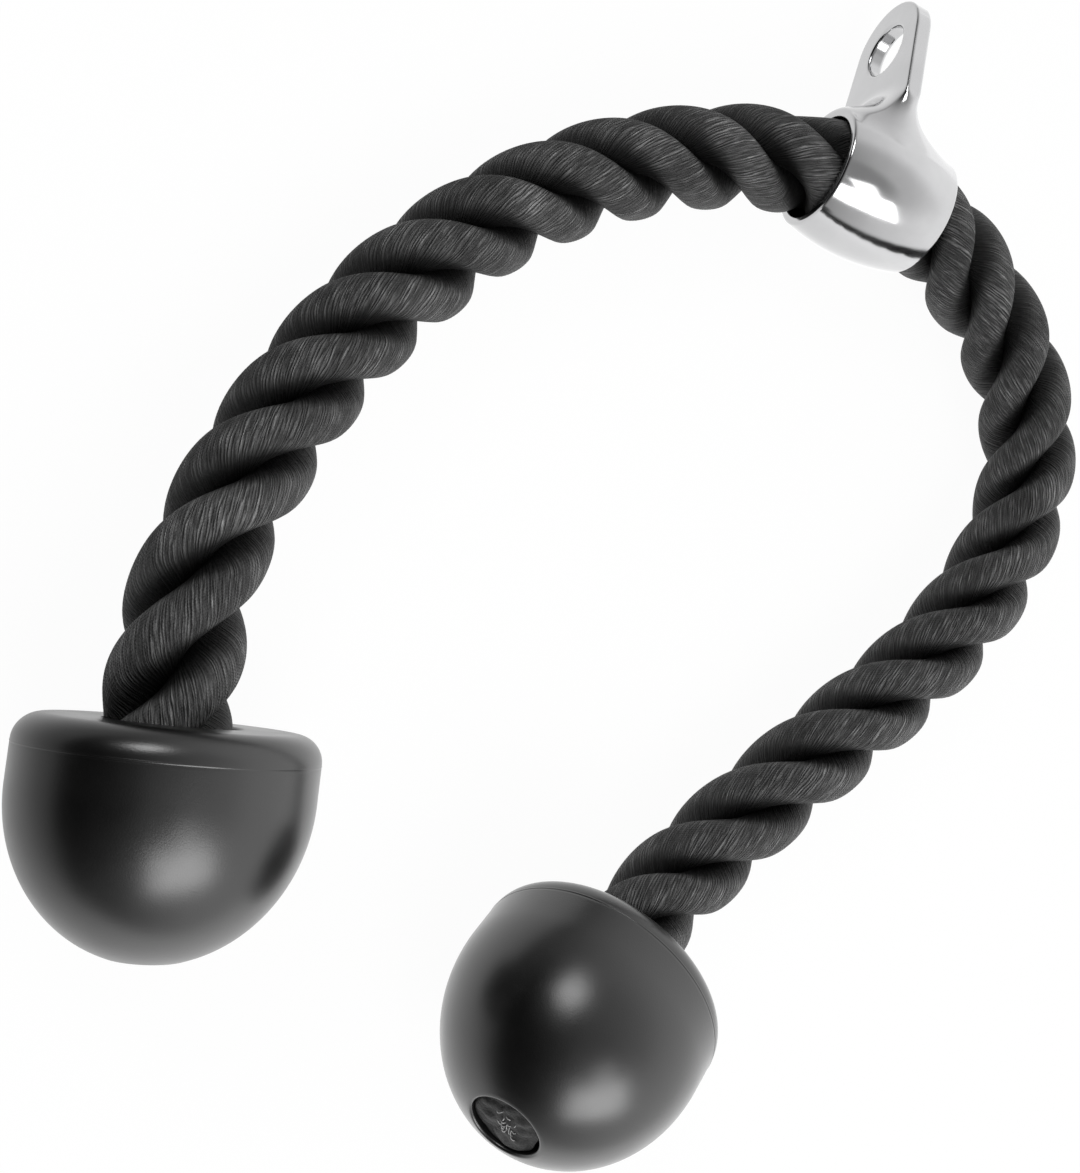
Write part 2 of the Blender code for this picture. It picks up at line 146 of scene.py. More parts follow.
def mesh_object(name, points, faces, smooth=True):
    mesh = bpy.data.meshes.new(name)
    mesh.from_pydata([tuple(point) for point in points], [], [tuple(face) for face in faces])
    mesh.validate()
    if smooth:
        mesh.shade_smooth()
    made = bpy.data.objects.new(name, mesh)
    bpy.context.collection.objects.link(made)
    return made


def finish_piece(piece, material, body, nodes):
    """Give a rigid piece its material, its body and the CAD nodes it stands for."""
    piece.data.materials.clear()
    piece.data.materials.append(material)
    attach(piece, body)
    if nodes:
        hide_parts(*nodes)


# Materials

class Shader:
    """A material with a Principled shader, and short calls that add nodes to it."""

    def __init__(self, name, **sockets):
        self.material = bpy.data.materials.new(name)
        self.material.use_nodes = True
        self.tree = self.material.node_tree
        self.shader = self.tree.nodes["Principled BSDF"]
        for socket, value in sockets.items():
            self.shader.inputs[socket.replace("_", " ")].default_value = value

    def node(self, kind, **inputs):
        made = self.tree.nodes.new("ShaderNode" + kind)
        for socket, value in inputs.items():
            self.put(made.inputs[socket.replace("_", " ")], value)
        return made

    def put(self, socket, value):
        if isinstance(value, bpy.types.NodeSocket):
            self.tree.links.new(value, socket)
        else:
            socket.default_value = value

    def link(self, socket, value):
        self.put(self.shader.inputs[socket], value)

    def place(self):
        return self.node("TexCoord").outputs["Object"]

    def scaled(self, vector, scale):
        mapping = self.node("Mapping", Vector=vector, Scale=scale)
        return mapping.outputs["Vector"]

    def noise(self, vector, scale=1.0, detail=2.0, roughness=0.5):
        made = self.node("TexNoise", Vector=vector, Scale=scale, Detail=detail, Roughness=roughness)
        return made.outputs["Fac"]

    def ramp(self, value, *stops):
        """A colour ramp through (place, colour) stops. A colour may be one number, for grey."""
        made = self.node("ValToRGB", Fac=value)
        ramp = made.color_ramp
        while len(ramp.elements) < len(stops):
            ramp.elements.new(0.5)
        for element, (place, colour) in zip(ramp.elements, stops):
            element.position = place
            grey = isinstance(colour, float)
            element.color = (colour, colour, colour, 1) if grey else (*colour, 1)
        return made.outputs["Color"]

    def range(self, value, span, levels):
        """Maps a value's span of (low, high) to two levels."""
        (low, high), (to_low, to_high) = span, levels
        made = self.node("MapRange", Value=value, From_Min=low, From_Max=high, To_Min=to_low, To_Max=to_high)
        return made.outputs["Result"]

    def sum(self, first, second, share):
        """first + second * share"""
        return self.math("MULTIPLY_ADD", second, share, first)

    def math(self, operation, *values):
        made = self.tree.nodes.new("ShaderNodeMath")
        made.operation = operation
        for socket, value in zip(made.inputs, values):
            self.put(socket, value)
        return made.outputs["Value"]

    def product(self, first, second):
        """Two colours multiplied."""
        made = self.node("Mix")
        made.data_type = "RGBA"
        made.blend_type = "MULTIPLY"
        made.inputs[0].default_value = 1.0
        self.put(made.inputs[6], first)
        self.put(made.inputs[7], second)
        return made.outputs[2]

    def bump(self, height, distance, strength):
        made = self.node("Bump", Height=height, Distance=distance, Strength=strength)
        self.link("Normal", made.outputs["Normal"])


# The part of a noise's range that most of its values lie in, and a narrower part of it
NOISE_SPAN = (0.3, 0.7)
NOISE_CORE = (0.35, 0.65)

# The nylon's patterns, by their scales per millimetre across and along the filaments
FILAMENT_SCALE = (2.2, 0.20, 1.0)
BUNDLE_SCALE = (0.55, 0.05, 1.0)
PATCH_SCALE = (0.09, 0.06, 1.0)
WANDER_SCALE = (0.5, 0.08, 1.0)
THREAD_PITCH_MM = 0.95
THREAD_WANDER = 9.0
THREAD_LEVELS = (0.2, 1.0)
THREAD_SHARE = 0.45
PATCH_SHARE = 0.7
TONE_SPAN = (0.65, 1.55)
NYLON_GREYS = ((0.0, 0.005), (0.35, 0.038), (0.65, 0.125), (1.0, 0.34))
# Painted shade in the creases: greys from the bottom of a crease to a strand's crest
CREASE_SHADE_GREYS = ((0.0, 0.02), (0.26, 0.06), (0.50, 0.75), (0.75, 1.0))
THREAD_RELIEF = 0.0009


def nylon_material():
    """Black laid nylon: fine filaments that run nearly along the rope, with painted shade darkening the
    creases between strands.
    """
    made = Shader("laid_nylon", Roughness=0.55, Specular_IOR_Level=0.4)
    fibre = made.node("Attribute")
    fibre.attribute_name = "fibre"
    parts = made.node("SeparateXYZ", Vector=fibre.outputs["Vector"])
    across, along, crest = (parts.outputs[name] for name in "XYZ")
    place = made.node("CombineXYZ", X=across, Y=along).outputs["Vector"]
    fine = made.noise(made.scaled(place, FILAMENT_SCALE), detail=3.0, roughness=0.6)
    bundles = made.noise(made.scaled(place, BUNDLE_SCALE))
    patches = made.noise(made.scaled(place, PATCH_SCALE), detail=3.0, roughness=0.6)
    wander = made.noise(made.scaled(place, WANDER_SCALE))
    turn = made.sum(made.math("MULTIPLY", across, pi / THREAD_PITCH_MM), wander, THREAD_WANDER)
    ridge = made.math("ABSOLUTE", made.math("SINE", turn))
    threads = made.math("MULTIPLY", ridge, made.range(bundles, NOISE_CORE, THREAD_LEVELS))
    tone = made.sum(made.sum(fine, threads, THREAD_SHARE), patches, PATCH_SHARE)
    colour = made.ramp(made.range(tone, TONE_SPAN, (0.0, 1.0)), *NYLON_GREYS)
    # Painted shade: the colour is darkened toward the creases between strands, where shade falls
    made.link("Base Color", made.product(colour, made.ramp(crest, *CREASE_SHADE_GREYS)))
    made.bump(made.sum(fine, threads, 1.0), distance=THREAD_RELIEF, strength=1.0)
    return made.material


def rubber_material():
    """Semi-gloss moulded rubber with a fine skin, a little uneven in gloss."""
    made = Shader("moulded_rubber", Specular_IOR_Level=0.8)
    place = made.place()
    skin = made.noise(place, scale=2600.0)
    cloud = made.noise(place, scale=55.0, detail=3.0, roughness=0.55)
    made.link("Base Color", made.ramp(cloud, (0.3, 0.0022), (0.7, 0.0034)))
    made.link("Roughness", made.range(cloud, NOISE_SPAN, levels=(0.28, 0.34)))
    made.bump(skin, distance=0.00004, strength=0.5)
    return made.material


def chrome_material():
    """Polished chrome plate over a cast body, with the faintest ripple and haze."""
    made = Shader("polished_chrome", Metallic=1.0)
    place = made.place()
    haze = made.noise(place, scale=90.0, detail=3.0, roughness=0.6)
    ripple = made.noise(place, scale=140.0)
    made.link("Base Color", made.ramp(haze, (0.3, (0.44, 0.44, 0.445)), (0.7, (0.475, 0.475, 0.48))))
    made.link("Roughness", made.range(haze, NOISE_SPAN, levels=(0.11, 0.15)))
    made.bump(ripple, distance=0.00006, strength=0.25)
    return made.material


def melted_material():
    """Strand ends sealed by heat: a hard, lumpy, slightly shiny crust."""
    made = Shader("sealed_nylon", Specular_IOR_Level=0.3)
    lumps = made.noise(made.place(), scale=700.0, detail=4.0, roughness=0.6)
    made.link("Base Color", made.ramp(lumps, (0.35, 0.009), (0.65, 0.024)))
    made.link("Roughness", made.range(lumps, NOISE_SPAN, levels=(0.45, 0.7)))
    made.bump(lumps, distance=0.0007, strength=0.8)
    return made.material


def zinc_material():
    """Zinc plate on the ferrule that binds the rope inside a ball."""
    made = Shader("zinc_plate", Metallic=1.0)
    spangle = made.noise(made.place(), scale=400.0, detail=3.0, roughness=0.6)
    made.link("Base Color", made.ramp(spangle, (0.3, 0.36), (0.7, 0.5)))
    made.link("Roughness", made.range(spangle, NOISE_SPAN, levels=(0.28, 0.45)))
    return made.material


def frayed_material():
    """Pale ends of worn filaments."""
    made = Shader("frayed_filament", Roughness=0.5)
    made.link("Base Color", made.ramp(made.noise(made.place(), scale=900.0), (0.3, 0.22), (0.7, 0.55)))
    return made.material


# Camera, placed from FOOT

CAMERA_PLACE = FOOT + Vector((-0.20055, -0.1832, 0.3598))
CAMERA_TARGET = FOOT + Vector((-0.06015, -0.1469, 0.0))
CAMERA_ROLL = radians(92.76)
CAMERA_NEAR = 0.01
CAMERA_FAR = 50
FOCAL_PIXELS = 1300
FRAME_HEIGHT_PIXELS = 1173
SENSOR_MM = 36


def make_camera():
    data = bpy.data.cameras.new("camera")
    data.sensor_width = SENSOR_MM
    data.lens = FOCAL_PIXELS * SENSOR_MM / FRAME_HEIGHT_PIXELS
    data.clip_start = CAMERA_NEAR
    data.clip_end = CAMERA_FAR
    camera = bpy.data.objects.new("camera", data)
    bpy.context.collection.objects.link(camera)
    look = (CAMERA_TARGET - CAMERA_PLACE).to_track_quat("-Z", "Y")
    turn = look @ Quaternion((0, 0, 1), CAMERA_ROLL)
    camera.matrix_world = Matrix.LocRotScale(CAMERA_PLACE, turn, None)
    bpy.context.scene.camera = camera


# Floor

FLOOR_HALF = 6.0
FLOOR_DROP = 0.0002
FLOOR_GREY = 0.8
FLOOR_GLOW = 0.96
# What reflections see of the floor is a painted glow: its level rises between two places along this azimuth
FLOOR_SHEEN_AZIMUTH = -20
FLOOR_SHEEN_SPAN = (-0.20, 0.12)
FLOOR_SHEEN_LEVELS = (0.49, 1.61)


def make_floor():
    """A white floor. To the camera most of its white is its own.

    In reflections it glows paler toward the lamp, a painted reflection of the lamp's light.
    """
    made = Shader("white_floor", Roughness=0.9, Specular_IOR_Level=0.0)
    made.shader.inputs["Base Color"].default_value = (FLOOR_GREY, FLOOR_GREY, FLOOR_GREY, 1)
    ray = made.node("LightPath")
    seen, mirrored = ray.outputs["Is Camera Ray"], ray.outputs["Is Glossy Ray"]
    through = ray.outputs["Is Transmission Ray"]
    toward = made.node("VectorMath", Vector=made.place())
    toward.operation = "DOT_PRODUCT"
    toward.inputs[1].default_value = direction(radians(FLOOR_SHEEN_AZIMUTH), 0.0)
    # Painted reflection: the floor's glow for glossy rays rises toward the lamp
    sheen = made.range(toward.outputs["Value"], FLOOR_SHEEN_SPAN, FLOOR_SHEEN_LEVELS)
    level = made.math("MAXIMUM", made.math("MULTIPLY", sheen, mirrored), seen)
    glow = made.node("Emission", Strength=made.math("MAXIMUM", level, through))
    direct = made.math("MAXIMUM", seen, through)
    share = made.math("MULTIPLY", made.math("MAXIMUM", direct, mirrored), FLOOR_GLOW)
    mix = made.node("MixShader", Fac=share)
    made.put(mix.inputs[1], made.shader.outputs["BSDF"])
    made.put(mix.inputs[2], glow.outputs["Emission"])
    made.put(made.tree.nodes["Material Output"].inputs["Surface"], mix.outputs["Shader"])
    signs = ((-1, -1), (1, -1), (1, 1), (-1, 1))
    corners = [(x * FLOOR_HALF, y * FLOOR_HALF, -FLOOR_DROP) for x, y in signs]
    floor = mesh_object("floor", corners, [(0, 1, 2, 3)], smooth=False)
    floor.data.materials.append(made.material)


# Studio walls and ceiling. A span is a range of the cosine between a ray and a direction.

UPRIGHT = 90
WALL_AZIMUTH = 10
WALL_SPAN = (-0.9, 1.0)
WALL_LEVELS = (0.01, 1.5)
WALL_TOP_SPAN = (0.55, 0.85)
WALL_TOP_SHARE = 0.7
CEILING_AZIMUTH = -75
CEILING_RISE = 78
CEILING_SPAN = (0.90, 0.97)
CEILING_LEVEL = 0.42
SKIRTING_AZIMUTH = -66
SKIRTING_SPAN = (0.5, 0.8)
SKIRTING_TOP_SPAN = (0.0, 0.07)
SKIRTING_SHARE = 0.6


def make_world():
    """A studio with a pale wall on one side, an unlit one across from it and a dim ceiling.

    To the camera alone all of it is white.
    """
    world = bpy.data.worlds.new("studio")
    world.use_nodes = True
    bpy.context.scene.world = world
    tree = world.node_tree
    toward = tree.nodes.new("ShaderNodeTexCoord").outputs["Generated"]

    def along(azimuth, rise, span, levels):
        dot = tree.nodes.new("ShaderNodeVectorMath")
        dot.operation = "DOT_PRODUCT"
        tree.links.new(toward, dot.inputs[0])
        dot.inputs[1].default_value = direction(radians(azimuth), radians(rise))
        spread = tree.nodes.new("ShaderNodeMapRange")
        spread.interpolation_type = "SMOOTHSTEP"
        tree.links.new(dot.outputs["Value"], spread.inputs["Value"])
        for socket, value in zip(("From Min", "From Max", "To Min", "To Max"), (*span, *levels)):
            spread.inputs[socket].default_value = value
        return spread.outputs["Result"]

    def joined(operation, first, second):
        made = tree.nodes.new("ShaderNodeMath")
        made.operation = operation
        for socket, value in zip(made.inputs, (first, second)):
            if isinstance(value, bpy.types.NodeSocket):
                tree.links.new(value, socket)
            else:
                socket.default_value = value
        return made.outputs["Value"]

    round_about = along(WALL_AZIMUTH, 0, WALL_SPAN, WALL_LEVELS)
    walls = joined("MULTIPLY", round_about, along(0, UPRIGHT, WALL_TOP_SPAN, (1.0, WALL_TOP_SHARE)))
    ceiling = along(CEILING_AZIMUTH, CEILING_RISE, CEILING_SPAN, (0.0, 1.0))
    low = along(0, UPRIGHT, SKIRTING_TOP_SPAN, (1.0, 0.0))
    front = along(SKIRTING_AZIMUTH, 0, SKIRTING_SPAN, (0.0, 1.0))
    shade = joined("MULTIPLY", joined("MULTIPLY", low, front), SKIRTING_SHARE)
    under_ceiling = joined("MULTIPLY", walls, joined("SUBTRACT", 1.0, ceiling))
    below = joined("MULTIPLY", under_ceiling, joined("SUBTRACT", 1.0, shade))
    lit = joined("ADD", below, joined("MULTIPLY", ceiling, CEILING_LEVEL))
    seen = tree.nodes.new("ShaderNodeLightPath").outputs["Is Camera Ray"]
    tree.links.new(joined("MAXIMUM", lit, seen), tree.nodes["Background"].inputs["Color"])
    tree.nodes["Background"].inputs["Strength"].default_value = 1.0


# Lamps, each with its place from FOOT, its width and height and its radiance

LAMP_TARGET = FOOT + Vector((-0.04, -0.12, 0.02))
SOFTBOXES = (
    ("key_light", (0.35, -1.20, 1.28), (1.20, 0.78), 5.5),
    ("top_light", (0.30, -0.74, 1.72), (0.46, 0.46), 3.0),
    ("back_light", (-1.03, 0.98, 1.36), (0.70, 0.70), 7.5),
)


def make_softbox(name, place, size, radiance):
    """A rectangular lamp that faces the middle of the scene."""
    width, height = size
    data = bpy.data.lights.new(name, "AREA")
    data.shape = "RECTANGLE"
    data.size = width
    data.size_y = height
    data.energy = radiance * pi * width * height
    lamp = bpy.data.objects.new(name, data)
    bpy.context.collection.objects.link(lamp)
    lamp.location = FOOT + Vector(place)
    lamp.rotation_mode = "QUATERNION"
    lamp.rotation_quaternion = (LAMP_TARGET - lamp.location).to_track_quat("-Z", "Y")


# Line of a rope arm

SPLINE_STEPS = 24
ROPE_ROW_STEP = 0.0008
# How far the rope's end stays short of its seat in the ball
END_GAP = 0.0028
# How far the rope lies off the middle where it enters a ball
BALL_LEANS = {"left": (-0.0014, -0.0004, -0.0006), "right": (0.0, 0.0, 0.0)}
LEAN_SPREAD = 0.014


def smooth_points(route, start_direction, end_direction):
    """Fine points of a cubic curve through the route with even curvature and given end directions."""
    points = np.array([tuple(point) for point in route])
    spans = np.linalg.norm(np.diff(points, axis=0), axis=1)
    slopes = np.diff(points, axis=0) / spans[:, None]
    count = len(points)
    matrix = np.eye(count)
    sides = np.zeros((count, 3))
    sides[0] = start_direction
    sides[-1] = end_direction
    for i in range(1, count - 1):
        before, after = spans[i - 1], spans[i]
        matrix[i, i - 1 : i + 2] = (after, 2 * (before + after), before)
        sides[i] = 3 * (after * slopes[i - 1] + before * slopes[i])
    tangents = np.linalg.solve(matrix, sides)
    fine = []
    for i, span in enumerate(spans):
        for share in np.arange(SPLINE_STEPS) / SPLINE_STEPS:
            fine.append(
                (1 + 2 * share) * (1 - share) ** 2 * points[i]
                + share * (1 - share) ** 2 * span * tangents[i]
                + share**2 * (3 - 2 * share) * points[i + 1]
                + share**2 * (share - 1) * span * tangents[i + 1]
            )
    fine.append(points[-1])
    return np.array(fine)


def travel_along(points):
    return np.concatenate(([0.0], np.cumsum(np.linalg.norm(np.diff(points, axis=0), axis=1))))


def resampled(points, step):
    travel = travel_along(points)
    places = np.linspace(0, travel[-1], round(travel[-1] / step) + 1)
    return np.stack([np.interp(places, travel, points[:, i]) for i in range(3)], axis=1), places


def near(distances, spread):
    """A bell that is 1 where a distance is 0."""
    return np.exp(-((distances / spread) ** 2))


class Arm:
    """One arm of the rope: its line from the sleeve's middle, out of the mouth and into its ball."""

    def __init__(self, side, route, turn, azimuth, rise):
        self.side = side
        sign = 1 if route[0][0] > 0 else -1
        self.axis = direction(azimuth, rise)
        mouth_direction = Vector((sign * cos(turn), -sin(turn), 0))
        free = smooth_points(route, mouth_direction, self.axis)
        middle = (0.0, 0.0, SLEEVE_CENTRE.z)
        gripped = smooth_points([middle, route[0]], Vector((sign, 0, 0)), mouth_direction)
        held_length = ROPE_IN_BALL - END_GAP
        held = free[-1] + np.outer(np.linspace(0, 1, SPLINE_STEPS) * held_length, self.axis)
        free_travel = travel_along(free)
        line = np.vstack([gripped[:-1], free, held[1:]]) + np.array(FOOT)
        self.points, self.travel = resampled(line, ROPE_ROW_STEP)
        self.from_mouth = self.travel - travel_along(gripped)[-1]
        self.to_face = free_travel[-1] - self.from_mouth
        sideways = Vector(BALL_LEANS[side])
        sideways -= self.axis * sideways.dot(self.axis)
        self.points += np.outer(near(self.to_face, LEAN_SPREAD), sideways)
        self.mouth = Vector(route[0]) + FOOT
        self.face = Vector(free[-1]) + FOOT
        bend = [float(np.interp(BEND_LENGTH, free_travel, free[:, i])) for i in range(3)]
        self.bend_end = Vector(bend) + FOOT

    def ball_place(self):
        return Matrix.LocRotScale(self.face, self.axis.to_track_quat("Z", "Y"), None)


# Skin of a rope arm

ROPE_COLUMNS = 384
# The strands' sections are ovals that overlap, with a crease where two meet
LAY_RADIUS = 0.0150
STRAND_DEPTH = 0.0073
STRAND_HALF_WIDTH = 0.0088
CREASE_DEPTH = 0.0042
CREASE_TURN = radians(16)
# Phase at the sleeve's middle, turns per metre there, and how fast those change along the arm
LAYS = {"left": (radians(32.3), 13.766, 1.22), "right": (radians(-76.2), 14.418, -4.2)}
# Extra turn of the strands where the rope opens up before a ball
BALL_TWISTS = {"left": radians(-20), "right": radians(26)}
BALL_TWIST_REACH = 0.07
# Yarn ridges along the strands
FIBRE_TURN = radians(14)
YARN_PITCH = 0.0011
YARN_DEPTH = 0.00020
YARN_MIDDLE_SHARE = 0.6
YARN_WANDER_SHARE = 0.35
YARN_WANDER_RATE = 90
YARN_SEED = 3
# Uneven thickness along the rope
UNEVEN_SHARE = 0.006
UNEVEN_RATE = 160
UNEVEN_SEED = 11
RIPPLE_WAVES = 5
RIPPLE_RATES = (0.4, 2.2)
RIPPLE_HEIGHTS = (0.2, 0.5)
# Fuller places where the strands bunch up before a hold, as shares of the radius
MOUTH_SWELL_SHARES = {"left": 0.02, "right": 0.05}
BALL_SWELL_SHARES = {"left": 0.08, "right": 0.0}
BUNCH_PLACE = 0.014
BUNCH_SPREAD = 0.016
# A neck on the tab's side, just outside the sleeve's mouth
NECK_DEPTHS = {"left": 0.0017, "right": 0.0010}
NECK_PLACE = 0.004
NECK_SPREAD = 0.007
# The round that the strands are pressed into inside a hold
GRIPPED_RADIUS = 0.0158
GRIP_SHARE = 0.9
GRIP_LEAD = 0.008


def frames_along(points):
    """Tangents, and two normals that turn as little as they can along the line."""
    tangents = np.gradient(points, axis=0)
    tangents /= np.linalg.norm(tangents, axis=1)[:, None]
    normal = np.array((0.0, 0.0, 1.0))
    normals = []
    for tangent in tangents:
        normal = normal - tangent * (normal @ tangent)
        normal /= np.linalg.norm(normal)
        normals.append(normal)
    normals = np.array(normals)
    return tangents, normals, np.cross(tangents, normals)


def strand_reach(off_lobe):
    """Distance of a strand's oval surface from the rope's axis, by the angle from the strand's middle."""
    centre = LAY_RADIUS - STRAND_DEPTH
    deep, wide = 1 / STRAND_DEPTH**2, 1 / STRAND_HALF_WIDTH**2
    a = np.cos(off_lobe) ** 2 * deep + np.sin(off_lobe) ** 2 * wide
    b = np.cos(off_lobe) * centre * deep
    c = centre**2 * deep - 1
    return (b + np.sqrt(b**2 - a * c)) / a


def ripple(values, seed):
    """A slow, smooth, seeded wander between about -1 and 1 along one coordinate."""
    draw = np.random.default_rng(seed)
    total = np.zeros_like(values)
    for _ in range(RIPPLE_WAVES):
        wave = np.sin(values * draw.uniform(*RIPPLE_RATES) + draw.uniform(0, 2 * pi))
        total += wave * draw.uniform(*RIPPLE_HEIGHTS)
    return total


def rope_swell(arm):
    """How much fuller the rope is along its line, where the strands bunch up before a hold."""
    near_mouth = MOUTH_SWELL_SHARES[arm.side] * near(arm.from_mouth - BUNCH_PLACE, BUNCH_SPREAD)
    near_ball = BALL_SWELL_SHARES[arm.side] * near(arm.to_face - BUNCH_PLACE, BUNCH_SPREAD)
    return 1 + near_mouth + near_ball


def rope_neck(arm):
    """How far the rope is drawn in on the tab's side, just outside the sleeve's mouth."""
    return NECK_DEPTHS[arm.side] * near(arm.from_mouth - NECK_PLACE, NECK_SPREAD)


def rope_grip(arm):
    """How far the strands are pressed into a plain round: in the sleeve and in the ball."""
    in_sleeve = 1 - smooth_share((arm.from_mouth + GRIP_LEAD) / (2 * GRIP_LEAD))
    in_ball = 1 - smooth_share((arm.to_face + GRIP_LEAD) / (2 * GRIP_LEAD))
    return GRIP_SHARE * np.maximum(in_sleeve, in_ball)


def rope_twist(arm):
    """The angle that the strands have turned to, along the arm."""
    phase, turns, change = LAYS[arm.side]
    twist = phase + 2 * pi * (turns + change * arm.travel) * arm.travel
    return twist + BALL_TWISTS[arm.side] * smooth_share(1 - arm.to_face / BALL_TWIST_REACH)


def rope_reach(arm, off_lobe, across, along):
    """Distance of the rope's skin from its line, for each row and column, without its neck."""
    to_crease = LOBE_TURN / 2 - np.abs(off_lobe)
    reach = (strand_reach(off_lobe) - CREASE_DEPTH * near(to_crease, CREASE_TURN)) * np.ones(across.shape)
    crest = np.cos(off_lobe * STRANDS / 2)
    wander = YARN_WANDER_SHARE * ripple(along * YARN_WANDER_RATE, YARN_SEED)
    yarn = np.abs(np.sin(pi * (across / YARN_PITCH + wander)))
    reach += YARN_DEPTH * (yarn - YARN_MIDDLE_SHARE) * crest
    reach *= 1 + UNEVEN_SHARE * ripple(arm.travel * UNEVEN_RATE, UNEVEN_SEED)[:, None]
    reach *= rope_swell(arm)[:, None]
    grip = rope_grip(arm)[:, None]
    return reach * (1 - grip) + GRIPPED_RADIUS * grip


def tube_faces(rows, columns):
    """Quads of a tube of rings, and a cap on each end."""
    row = np.arange(rows - 1)[:, None] * columns
    column = np.arange(columns)[None, :]
    here = row + column
    beside = row + (column + 1) % columns
    quads = np.stack([here, beside, beside + columns, here + columns], axis=-1).reshape(-1, 4)
    first_cap = list(range(columns - 1, -1, -1))
    last_cap = [(rows - 1) * columns + i for i in range(columns)]
    return [*quads.tolist(), first_cap, last_cap]


def make_rope(arm, material):
    """Three fat strands laid round each other, with yarn ridges, from the sleeve's middle into the ball."""
    _, normals, sides = frames_along(arm.points)
    column_turn = np.arange(ROPE_COLUMNS) / ROPE_COLUMNS * 2 * pi
    off_lobe = (column_turn % LOBE_TURN) - LOBE_TURN / 2
    turn = column_turn[None, :] + rope_twist(arm)[:, None]
    across = ROPE_RADIUS * turn * cos(FIBRE_TURN) + arm.travel[:, None] * sin(FIBRE_TURN)
    along = arm.travel[:, None] * cos(FIBRE_TURN) - ROPE_RADIUS * turn * sin(FIBRE_TURN)
    reach = rope_reach(arm, off_lobe, across, along)
    outward = np.cos(turn)[..., None] * normals[:, None, :] + np.sin(turn)[..., None] * sides[:, None, :]
    reach -= rope_neck(arm)[:, None] * np.maximum(outward[..., 1], 0) ** 2
    ring = arm.points[:, None, :] + reach[..., None] * outward
    faces = tube_faces(len(arm.points), ROPE_COLUMNS)
    rope = mesh_object(f"{arm.side}_rope", ring.reshape(-1, 3), faces)
    add_fibre_places(rope, across, along, 1 - np.abs(off_lobe) / (LOBE_TURN / 2))
    rope.data.materials.append(material)
    return rope


def add_fibre_places(rope, across, along, crest):
    """Store where each corner lies across and along the filaments, in millimetres, and its crest share.

    The crest share is 0 in the crease between two strands and 1 on a strand's crest.
    """
    rows, columns = across.shape
    mm = 1000
    whole_turn = 2 * pi * ROPE_RADIUS
    across = np.hstack([across, across[:, :1] + whole_turn * cos(FIBRE_TURN)]) * mm
    along = np.hstack([along, along[:, :1] - whole_turn * sin(FIBRE_TURN)]) * mm
    row, column = np.indices((rows - 1, columns))
    corner_rows = np.stack([row, row, row + 1, row + 1], axis=-1).reshape(-1)
    corner_columns = np.stack([column, column + 1, column + 1, column], axis=-1).reshape(-1)
    values = np.zeros((len(rope.data.loops), 3), np.float32)
    count = len(corner_rows)
    values[:count, 0] = across[corner_rows, corner_columns]
    values[:count, 1] = along[corner_rows, corner_columns]
    values[:count, 2] = crest[corner_columns % columns]
    fibre = rope.data.attributes.new("fibre", "FLOAT_VECTOR", "CORNER")
    fibre.data.foreach_set("vector", values.ravel())


def declare_rope(rope, arm):
    """Bake a rope arm's placement into its mesh and hide the CAD nodes that it stands for."""
    side = arm.side
    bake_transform(rope)
    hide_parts(f"{side}_rope_bend", f"{side}_rope_arm", f"{side}_rope_end")


# Surface of a distance: the places where it is zero

SLOPE_STEP = 0.00001
LEAST_STEEPNESS = 0.05
PULL_ROUNDS = 5
SKIN_ROUNDS = 4
CELL_CORNERS = 8


def rounded_and(first, second, radius):
    """Distance of what two solids share, with the edge between them rounded."""
    outside = np.hypot(np.maximum(first + radius, 0), np.maximum(second + radius, 0))
    return np.minimum(np.maximum(first, second), -radius) + outside


def smooth_or(first, second, blend):
    """Distance of two solids together, with a fillet where they meet, whose size may vary by place."""
    share = np.clip(0.5 + 0.5 * (second - first) / blend, 0, 1)
    return second * (1 - share) + first * share - blend * share * (1 - share)


def slopes_of(distance, places):
    slope = np.zeros_like(places)
    for axis in range(3):
        shift = np.zeros(3)
        shift[axis] = SLOPE_STEP
        slope[:, axis] = (distance(places + shift) - distance(places - shift)) / (2 * SLOPE_STEP)
    return slope


def pulled_onto(distance, points):
    for _ in range(PULL_ROUNDS):
        slope = slopes_of(distance, points)
        steep = np.maximum((slope**2).sum(axis=1), LEAST_STEEPNESS)
        points = points - (distance(points) / steep)[:, None] * slope
    return points


def edges_of(quads):
    return np.vstack([quads[:, [i, (i + 1) % 4]] for i in range(4)])


def crossing_quads(inside, index):
    """A quad round each grid edge that crosses the surface, facing outward."""
    quads = []
    for axis in range(3):
        here = np.moveaxis(inside, axis, 0)
        cells = np.moveaxis(index, axis, 0)
        cut = here[:-1, 1:-1, 1:-1] != here[1:, 1:-1, 1:-1]
        i, j, k = np.nonzero(cut)
        around = ((j, k), (j + 1, k), (j + 1, k + 1), (j, k + 1))
        ring = np.stack([cells[i, beside, above] for beside, above in around], axis=-1)
        outward = here[i, j + 1, k + 1]
        if axis == 1:
            outward = ~outward
        quads.append(np.where(outward[:, None], ring, ring[:, ::-1]))
    return np.vstack(quads)


